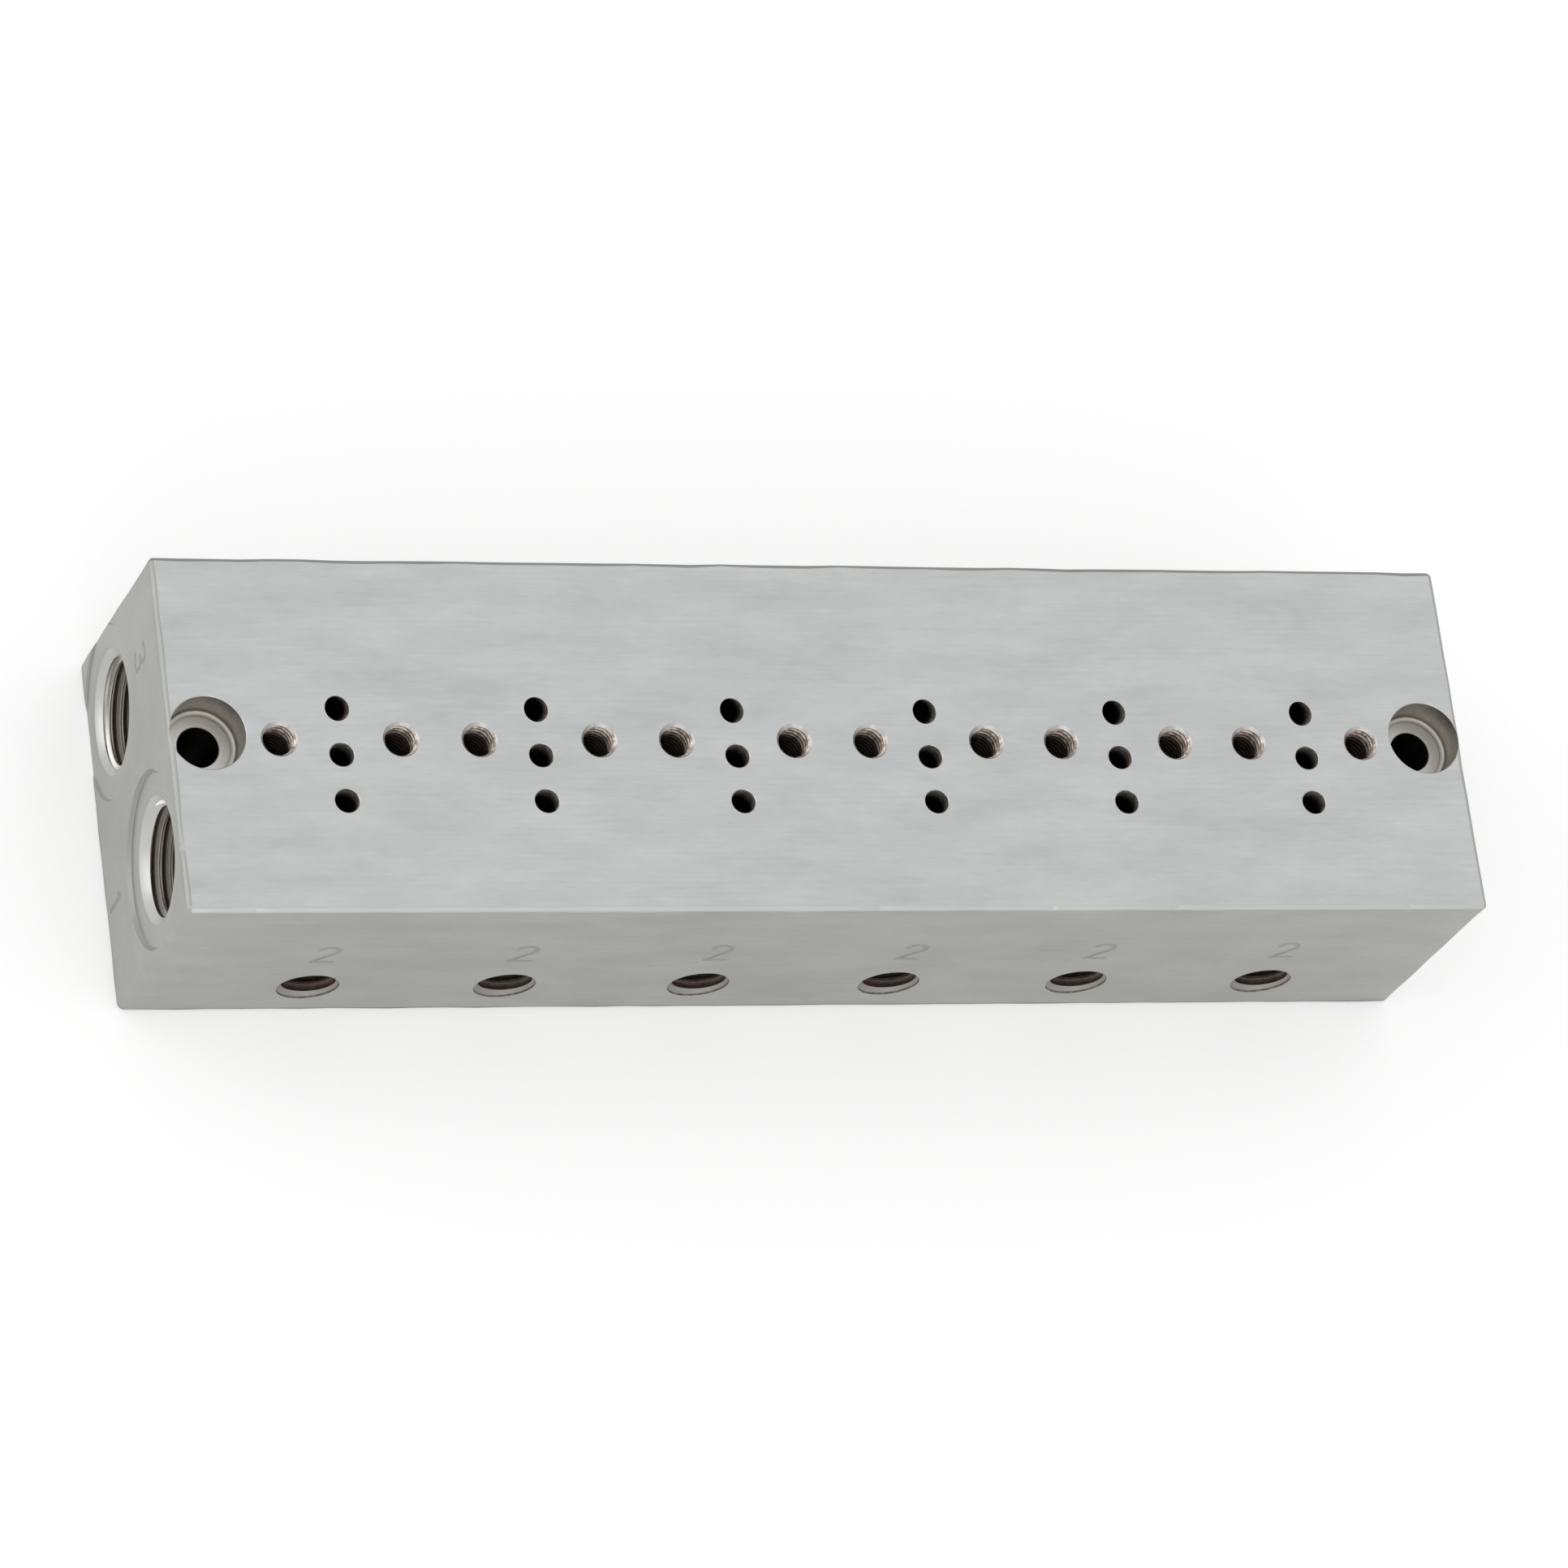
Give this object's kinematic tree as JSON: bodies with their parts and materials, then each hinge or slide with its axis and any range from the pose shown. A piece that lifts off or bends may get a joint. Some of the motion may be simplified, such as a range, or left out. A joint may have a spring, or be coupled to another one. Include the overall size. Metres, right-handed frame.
{
  "type": "manifold block",
  "caption": "Flat oblong aluminium manifold block for a bank of small valves, with tapped ports in its ends and one long side.",
  "frame": {"origin": "middle of the back face", "axes": "+X along the block, +Z out of the valve face, outlet ports in the -Y side"},
  "size_m": [0.1106, 0.03, 0.022],
  "materials": {
    "block": "satin, fine lengthwise grain, clear anodised"
  },
  "bodies": {
    "root": {"manifold_block": "block"}
  },
  "joints": []
}
